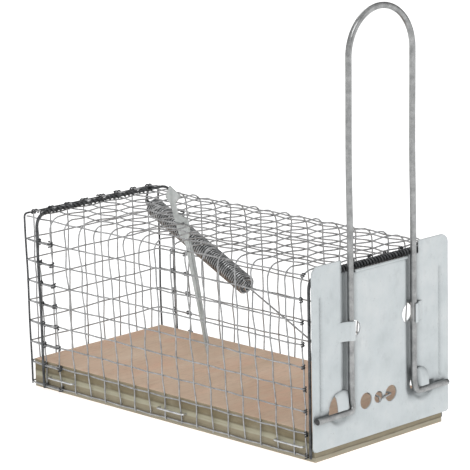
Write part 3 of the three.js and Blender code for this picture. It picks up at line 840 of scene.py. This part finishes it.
def door_outline():
    """The plate's edge, counterclockwise from its lower left."""
    half, low, top_r, foot_r = DOOR_HALF, DOOR_LOW, 5.0, 2
    points = [(-half + foot_r, low), (half - foot_r, low)]
    points += [(half - foot_r + foot_r * math.sin(a), low + foot_r - foot_r * math.cos(a))
               for a in np.radians([30, 60, 90])]
    points += [(half - top_r + top_r * math.cos(a), STRIP_TOP - top_r + top_r * math.sin(a))
               for a in np.radians(np.linspace(0, 90, 7))]
    points += [(STRIP_X + 0.8, STRIP_TOP), (STRIP_X, STRIP_TOP - 0.8), (STRIP_X, PANEL_TOP + 0.5),
               (STRIP_X - 0.5, PANEL_TOP)]
    points += [(-x, z) for x, z in reversed(points[5:])]
    points += [(-half, low + foot_r), (-half + 0.6, low + 0.6)]
    return points


def circle(x, z, radius, count):
    turns = np.linspace(0, 2 * math.pi, count, endpoint=False)
    return [(x + radius * math.cos(t), z + radius * math.sin(t)) for t in turns]


def eye_hole(side):
    """The open upper part of the eye behind a bail elbow."""
    points = []
    x, radius = (EYE_X, EYE_R - 0.6) if side < 0 else (EYE_X - 2.8, 5.0)
    for angle in np.radians(np.linspace(-28, 208, 22)):
        points.append((side * (x + radius * math.cos(angle)), EYE_Z + radius * math.sin(angle)))
    return points if side > 0 else points[::-1]


def inside(point, loop):
    """Whether the point lies within the loop, by the crossings of a line through it."""
    x, z = point
    odd = False
    for (x0, z0), (x1, z1) in zip(loop, loop[1:] + loop[:1]):
        if (z0 > z) != (z1 > z) and x < (x1 - x0) * (z - z0) / (z1 - z0) + x0:
            odd = not odd
    return odd


def resampled(loop, step):
    """The loop with points added, so that no side is longer than step."""
    result = []
    for (x0, z0), (x1, z1) in zip(loop, loop[1:] + loop[:1]):
        count = max(1, int(math.ceil(math.hypot(x1 - x0, z1 - z0) / step)))
        for k in range(count):
            result.append((x0 + (x1 - x0) * k / count, z0 + (z1 - z0) * k / count))
    return result


def plate_with_holes(outline, holes, step, relief, front):
    """A relief-pressed sheet: triangles inside the outline and outside the holes."""
    loops = [resampled(outline, step)] + [resampled(hole, step) for hole in holes]
    coords, edges = [], []
    for loop in loops:
        start = len(coords)
        coords += [Vector(p) for p in loop]
        edges += [(start + k, start + (k + 1) % len(loop)) for k in range(len(loop))]
    lined = np.array([tuple(c) for c in coords])
    xs, zs = lined[:, 0], lined[:, 1]
    width, height = xs.max() - xs.min(), zs.max() - zs.min()
    rows = int(height / step)
    columns = int(width / step)
    for i in range(1, columns):
        for j in range(1, rows):
            x = xs.min() + (i + 0.5 * (j % 2)) * width / columns
            z = zs.min() + j * height / rows
            if np.min((xs - x) ** 2 + (zs - z) ** 2) < (0.6 * step) ** 2:
                continue
            coords.append(Vector((x, z)))
    result = delaunay_2d_cdt(coords, edges, [], 0, 1e-4)
    points, triangles = result[0], result[2]
    kept = []
    for triangle in triangles:
        x = sum(points[i][0] for i in triangle) / 3
        z = sum(points[i][1] for i in triangle) / 3
        if inside((x, z), outline) and not any(inside((x, z), hole) for hole in holes):
            kept.append(tuple(triangle))
    used = sorted({i for triangle in kept for i in triangle})
    index = {old: new for new, old in enumerate(used)}
    verts = [(x, front + relief(x, z), z) for x, z in (points[i] for i in used)]
    return verts, [tuple(index[i] for i in triangle) for triangle in kept]


def solid_sheet(obj, thickness, bevel=0.18):
    """Gives a sheet its thickness behind its front face, and rounds its cut edges."""
    for polygon in obj.data.polygons:
        if polygon.normal.y > 0:
            polygon.flip()
    apply_modifier(obj, "SOLIDIFY", thickness=thickness * MM, offset=-1.0, use_even_offset=False)
    soften(obj, bevel, 50)


def band(profile, low_z, high_z, thickness, rows=6):
    """A strip of sheet with the given (x, y) line, between two heights, as a closed body."""
    profile = [np.array(p, float) for p in profile]
    normals = []
    for k in range(len(profile)):
        a, b = profile[max(0, k - 1)], profile[min(len(profile) - 1, k + 1)]
        t = (b - a) / np.linalg.norm(b - a)
        normals.append(np.array([t[1], -t[0]]))
    verts, faces = [], []
    heights = np.linspace(low_z, high_z, rows + 1)
    for z in heights:
        for p, n in zip(profile, normals):
            verts.append((*(p + n * thickness / 2), z))
        for p, n in zip(profile, normals):
            verts.append((*(p - n * thickness / 2), z))
    count = len(profile)
    ring = 2 * count
    order = list(range(count)) + list(range(ring - 1, count - 1, -1))
    for j in range(rows):
        for a, b in zip(order, order[1:] + order[:1]):
            faces.append((j * ring + a, j * ring + b, (j + 1) * ring + b, (j + 1) * ring + a))
    for j in (0, rows):
        for k in range(count - 1):
            quad = (j * ring + k, j * ring + k + 1, j * ring + count + k + 1, j * ring + count + k)
            faces.append(quad if j else quad[::-1])
    return verts, faces


def mid_strap(side):
    """The lanced band that holds a bail leg half way up: rooted outside, free inside."""
    x = side * LEG_X
    clearance, half_height = 0.35, 5.4
    over = BAIL_R + clearance + SHEET / 2
    reach = 10.5 if side < 0 else 7.5
    root = [(x + side * reach, DOOR_FRONT + 0.3), (x + side * 6.0, DOOR_FRONT + 0.1),
            (x + side * 4.2, DOOR_FRONT - 0.5)]
    turns = np.radians(np.linspace(30, 112, 12))
    curl = [(x + side * over * math.cos(t), LEG_Y - over * math.sin(t)) for t in turns]
    return band(root + curl, MID_Z - half_height, MID_Z + half_height, SHEET)


def elbow_hood(side):
    """The pressed hood over a bail elbow: open towards the door's edge, shut at the leg."""
    columns, rows = 14, 12
    width = 11.5 if side < 0 else 8.5
    root_x = LEG_X + 1.6
    top_z, low_z, crown_drop = EYE_Z + EYE_R + 0.4, 26.4, 1.6
    full_rise, thickness = 3.35, 0.6
    verts = []
    for inward in (0, thickness):
        for i in range(columns + 1):
            u = i / columns
            rise = full_rise * smooth(0.25 + u / 0.45)
            crown = top_z - crown_drop * (2 * u - 1) ** 2
            for j in range(rows + 1):
                v = j / rows
                angle = v * math.pi / 2
                out = rise * math.sin(angle) ** 0.8
                z = crown - (crown - low_z) * (1 - math.cos(angle)) ** 0.85
                y = DOOR_FRONT + 0.35 - out + inward
                verts.append((side * (root_x + u * width), y, z - inward * 0.5 * (1 - v)))
    size = (columns + 1) * (rows + 1)
    outer = grid_faces(columns, rows)
    faces = [(a, d, c, b) for a, b, c, d in outer]
    faces += [tuple(size + i for i in quad) for quad in outer]
    edge = [i * (rows + 1) for i in range(columns + 1)]
    edge += [columns * (rows + 1) + j for j in range(1, rows + 1)]
    edge += [i * (rows + 1) + rows for i in range(columns - 1, -1, -1)]
    edge += list(range(rows - 1, 0, -1))
    for a, b in zip(edge, edge[1:] + edge[:1]):
        faces.append((a, b, b + size, a + size))
    return verts, faces


def hinge_curl(x, half=3.4):
    """A tongue of the door bent back and curled round the hinge hoop."""
    clearance = 0.25
    ring = HOOP_R + clearance + SHEET / 2
    turns = np.radians(np.linspace(90, -215, 22))
    curl = [(HINGE_Y + ring * math.cos(t), HINGE_Z + ring * math.sin(t)) for t in turns]
    top = HINGE_Z + ring
    line = [(DOOR_FRONT + 0.3, top), (DOOR_FRONT + 2.4, top)] + curl
    verts, faces = band(line, x - half, x + half, SHEET * 0.85, 3)
    return [(along, back, up) for back, up, along in verts], faces


def door():
    """The pressed plate, its straps, hoods and hinge curls, and the hem along its top."""
    holes = [circle(x, HOOK_Z, r, 26) for x, r in HOOKS]
    holes += [circle(x, MID_Z, r, 30) for x, r in MID_HOLES]
    holes += [eye_hole(side) for side in (-1, 1)]
    build = Build()
    build.add(*plate_with_holes(door_outline(), holes, 1.25, door_relief, DOOR_FRONT))
    plate = build.object("door_plate_pressed", DOOR_STEEL)
    solid_sheet(plate, SHEET)
    place(plate, "door", "sheet_steel", "door_plate")
    fittings = Build()
    for side in (-1, 1):
        fittings.add(*mid_strap(side))
        fittings.add(*elbow_hood(side))
        fittings.add(*hinge_curl(side * CURL_X))
    tabs = fittings.object("door_straps_and_curls", DOOR_STEEL, merge=0.01)
    soften(tabs, 0.15, 55)
    place(tabs, "door", "sheet_steel")
    hem = Build()
    reach = LEG_X - 4.6
    line = [(x, DOOR_FRONT + 0.2 + 0.12 * wobble(1, x / 8), PANEL_TOP - 0.4)
            for x in np.linspace(-reach, reach, 24)]
    hem.tube(line, 0.85, 10)
    place(hem.object("door_panel_hem", DOOR_STEEL), "door", "sheet_steel")


# ---- bail
def bail():
    """The lifting bail: a round arch, straight legs, elbows and outward feet."""
    foot_y = BAIL_LOW[1] + BAIL_R
    foot_z = BAIL_LOW[2] + BAIL_R
    left_end, right_end = BAIL_HIGH[0] - DOME_TIP_OUT * BAIL_R, 51.4
    arch_z = BAIL_HIGH[2] - BAIL_R - LEG_X
    side = [(left_end, foot_y, foot_z), (LEG_X, foot_y, foot_z),
            (LEG_X, LEG_Y, foot_z + 7), (LEG_X, LEG_Y, arch_z)]
    lower = densify(rounded(side, 5.0, 8), 6)
    crown = arc((0, LEG_Y, arch_z), (1, 0, 0), (0, 0, 1), LEG_X, 0, 180, 40)
    other = [p * np.array([-1, 1, 1]) for p in lower[::-1]]
    lower[0] = np.array([right_end, foot_y, foot_z])
    path = lower[:-1] + crown + other[1:]
    bent = []
    for p in path:
        free = smooth((p[2] - 95) / 60)
        bent.append(p + np.array([0.5 * free * wobble(6, p[2] / 30), 0, 0]))
    build = Build()
    build.tube(bent, BAIL_R, 20, cap_slot=1)
    place(build.object("bail_wire", BAIL_STEEL, CUT_END), "door", "bail_steel", "bail_handle")


# ---- spring, pull wire, hook, anchor
SPRING_FROM, SPRING_TO = 9.0, 108.0
COIL_R, COIL_WIRE, COIL_PITCH, NECK_R = 5.05, 0.62, 1.72, 2.4
CAD_WIRE_R = 0.75  # pull wire, door hook and anchor in the frame
SIDE = np.cross([1.0, 0, 0], PULL)
SIDE /= np.linalg.norm(SIDE)
ACROSS = np.cross(PULL, SIDE)


def spring_point(along, angle, radius):
    return ANCHOR + PULL * along + radius * (math.cos(angle) * ACROSS + math.sin(angle) * SIDE)


def spring():
    """An extension coil, hooked at the rear and necked at both ends."""
    turns = int((SPRING_TO - SPRING_FROM) / COIL_PITCH)
    per_turn = 22
    path = []
    for along in (0.0, 1.2, 2.6, 4.2):
        path.append(spring_point(along, math.pi, 2.2 * math.sin(math.pi * along / 5.2)))
    for k in range(turns * per_turn + 1):
        turn = k / per_turn
        ease = smooth(min(turn, turns - turn) / 1.2)
        radius = NECK_R + (COIL_R - NECK_R) * ease
        along = SPRING_FROM - 3 + (SPRING_TO - SPRING_FROM + 3) * turn / turns
        path.append(spring_point(along, math.pi + 2 * math.pi * turn, radius))
    build = Build()
    build.tube(path, COIL_WIRE, 7)
    coil = build.object("spring_helix", SPRING_STEEL, merge=0)
    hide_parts("spring_coil")
    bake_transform(coil)


def pull_wire():
    """The straight wire from the spring's front hook, with a wound neck and an eye."""
    low, high = box_mm("pull_wire")
    tip = ANCHOR + PULL * ((high[1] - low[1]) / -PULL[1] + SPRING_TO + 1.2)
    length = np.linalg.norm(tip - ANCHOR)
    start = SPRING_TO - 1.5
    neck = length - 8.5
    path = [spring_point(along, 0, off)
            for along, off in ((start, 1.6), (start + 1.6, 0.6), (start + 3.4, 0.0), (neck, 0.0))]
    loop = []
    for k in range(21):
        turn = -math.pi + 2 * math.pi * k / 20
        along = length - 3.6 + 3.3 * math.cos(turn)
        loop.append(ANCHOR + PULL * along + SIDE * (2.0 * math.sin(turn)))
    radius = 0.5
    build = Build()
    build.tube(densify(path, 8) + loop, radius, 9)
    wound = helix_round(ANCHOR + PULL * (neck - 5), ANCHOR + PULL * (neck + 0.5), 1.0, 4.2, 0, 12)
    build.tube(wound, radius, 7)
    place(build.object("pull_wire_eye", MESH_STEEL), "pull", "frame_wire", "pull_wire")


def door_hook():
    """The bent wire through the door's two right-hand holes."""
    low, high = box_mm("door_hook")
    x0, x1 = low[0] + CAD_WIRE_R, high[0] - CAD_WIRE_R
    y0, y1 = low[1] + CAD_WIRE_R, high[1] - CAD_WIRE_R
    z = (low[2] + high[2]) / 2
    corners = [(x0 + 0.4, y0, z - 2.6), (x0, y0, z), (x0 + 1.2, y0 + 5, z), (0.0, y1, z),
               (4.0, y1, z), (x1 - 1.2, y0 + 5, z), (x1, y0, z), (x0 + 3.2, y0 - 0.1, z - 1.0)]
    build = Build()
    build.tube(densify(rounded(corners, 1.4, 5), 3), 0.6, 9)
    place(build.object("door_hook_wire", BAIL_STEEL), "door", "frame_wire", "door_hook")


def spring_anchor():
    """The link from the rear hoop down to the spring's rear hook."""
    low, high = box_mm("spring_anchor")
    x = ANCHOR[0]
    y, z = ANCHOR[1:]
    top = high[2] - CAD_WIRE_R
    corners = [(x, low[1] + 0.9, top), (x, REAR_Y + 2.6, top), (x, y + 1.2, z - 1.2),
               (x, y - 3.2, z - 1.2), (x, y, z + 0.2)]
    build = Build()
    build.tube(densify(rounded(corners, 1.3, 5), 3), 0.7, 9)
    place(build.object("spring_anchor_link", DARK_STEEL), "cage", "frame_wire", "spring_anchor")


# ---- trigger
TRIGGER_LEAN = math.radians(12.5)
TRIGGER_TAPER = 0.35  # how much narrower the strip's lower end is
TRIGGER_OUTLINE = [
    (-1.2, -78), (0.6, -75), (1.9, -12), (5, -6), (6.4, 1.4), (7, 4.5), (7.4, 9), (8.4, 13.2), (11.1, 16.4),
    (6.2, 22.7), (-1.9, 15.8), (3.6, 12.4), (3.4, 6.2), (-1.8, 3.4), (-4.4, 1.6), (-4.2, -5), (-2, -9),
    (-1.9, -72),
]


def valley(u, w):
    """The shallow groove down the strip."""
    return -0.5 * math.exp(-((u - 1.0) / 2.2) ** 2) * smooth((-w - 3) / 8)


def trigger():
    """The sheet blade: barbed head, gripping shoulders, and a strip with one edge folded."""
    hole = circle(0, 0, 1.0, 16)
    build = Build()
    build.add(*plate_with_holes(TRIGGER_OUTLINE, [hole], 0.9, valley, 0.0))
    blade = build.object("trigger_blade", TRIGGER_STEEL)
    solid_sheet(blade, 0.7, 0.12)
    fold = Build()
    edge = [(-1.95, 0.0), (-1.95, -0.5), (-1.75, -1.3), (-1.6, -2.0)]
    verts, faces = band([(v, u) for u, v in edge], -71.0, -10.0, 0.6, 10)
    fold.add([(u, v, w) for v, u, w in verts], faces)
    flange = fold.object("trigger_fold", TRIGGER_STEEL)
    cos, sin = math.cos(TRIGGER_LEAN), math.sin(TRIGGER_LEAN)
    for obj in (blade, flange):
        for vertex in obj.data.vertices:
            u, v, w = (c / MM for c in vertex.co)
            u *= 1 - TRIGGER_TAPER * smooth((-w - 12) / 60)
            y, z = u * cos + w * sin, w * cos - u * sin
            vertex.co = ((PIVOT[0] - 0.35 - v) * MM, (PIVOT[1] + y) * MM, (PIVOT[2] + z) * MM)
        weld(obj, 0.0001)
    place(blade, "trigger", "sheet_steel", "trigger_lever")
    place(flange, "trigger", "sheet_steel")


# ---- camera, light and floor
def camera():
    """A long lens from the front left, a little above the trap."""
    azimuth, elevation, roll = (math.radians(a) for a in (-44.75, 12.93, 1.1))
    target = Vector((5.0, 0.9, 98.5)) * MM
    distance = 1.5936
    level = math.cos(elevation)
    back = Vector((math.sin(azimuth) * level, -math.cos(azimuth) * level, math.sin(elevation)))
    forward = -back
    right = forward.cross(Vector((0, 0, 1))).normalized()
    down = forward.cross(right)
    axis_x = math.cos(roll) * right + math.sin(roll) * down
    axis_y = math.sin(roll) * right - math.cos(roll) * down
    data = bpy.data.cameras.new("camera")
    data.lens = 214.09
    data.sensor_width = 36
    data.clip_end = 50
    obj = bpy.data.objects.new("camera", data)
    turn = Matrix((axis_x, axis_y, back)).transposed().to_4x4()
    obj.matrix_world = Matrix.Translation(target + back * distance) @ turn
    bpy.context.scene.collection.objects.link(obj)
    bpy.context.scene.camera = obj


def area_light(name, place_m, size, power):
    """A round light that faces the trap's middle."""
    data = bpy.data.lights.new(name, "AREA")
    data.shape = "DISK"
    data.size = size
    data.energy = power
    obj = bpy.data.objects.new(name, data)
    obj.location = place_m
    middle = Vector((0, 0, 0.08))
    obj.rotation_euler = (middle - Vector(place_m)).to_track_quat("-Z", "Y").to_euler()
    bpy.context.scene.collection.objects.link(obj)


def studio():
    """A white floor and surroundings, with key, fill and rim lights."""
    floor = Build()
    edge, below = 4000, -0.4
    corners = [(-edge, -edge, below), (edge, -edge, below), (edge, edge, below), (-edge, edge, below)]
    floor.add(corners, [(0, 1, 2, 3)])
    paper = bpy.data.materials.new("white_floor")
    paper.use_nodes = True
    shader = paper.node_tree.nodes["Principled BSDF"]
    white = (1, 1, 1, 1)
    set_inputs(shader, {"Base Color": (0.6, 0.6, 0.6, 1), "Roughness": 0.9,
                        "Emission Color": white, "Emission Strength": 0.75})
    floor.object("floor", paper, merge=0)
    world = bpy.data.worlds.new("white_room")
    world.use_nodes = True
    tree = world.node_tree
    direction = tree.nodes.new("ShaderNodeTexCoord").outputs["Generated"]
    towards = tree.nodes.new("ShaderNodeVectorMath")
    towards.operation = "DOT_PRODUCT"
    towards.inputs[1].default_value = (0.69, 0.7, -0.12)
    tree.links.new(direction, towards.inputs[0])
    shade = tree.nodes.new("ShaderNodeMapRange")
    set_inputs(shade, {"From Min": 0.1, "From Max": 0.8, "To Min": 0.78, "To Max": 0.12})
    tree.links.new(towards.outputs["Value"], shade.inputs["Value"])
    tree.links.new(shade.outputs["Result"], tree.nodes["Background"].inputs["Strength"])
    tree.nodes["Background"].inputs["Color"].default_value = white
    bpy.context.scene.world = world
    area_light("key", (-1.1, -0.9, 1.6), 0.8, 9)
    area_light("fill", (0.9, -1.6, 0.7), 1.2, 2.5)
    area_light("rim", (0.6, 1.4, 1.3), 0.8, 5)
    bpy.context.scene.view_settings.view_transform = "Standard"


# ---- the trap
camera()
studio()
cage_mesh()
back_mesh()
rear_hoop()
front_hoop()
board()
staples()
door()
bail()
spring()
pull_wire()
door_hook()
spring_anchor()
trigger()

bpy.context.view_layer.update()
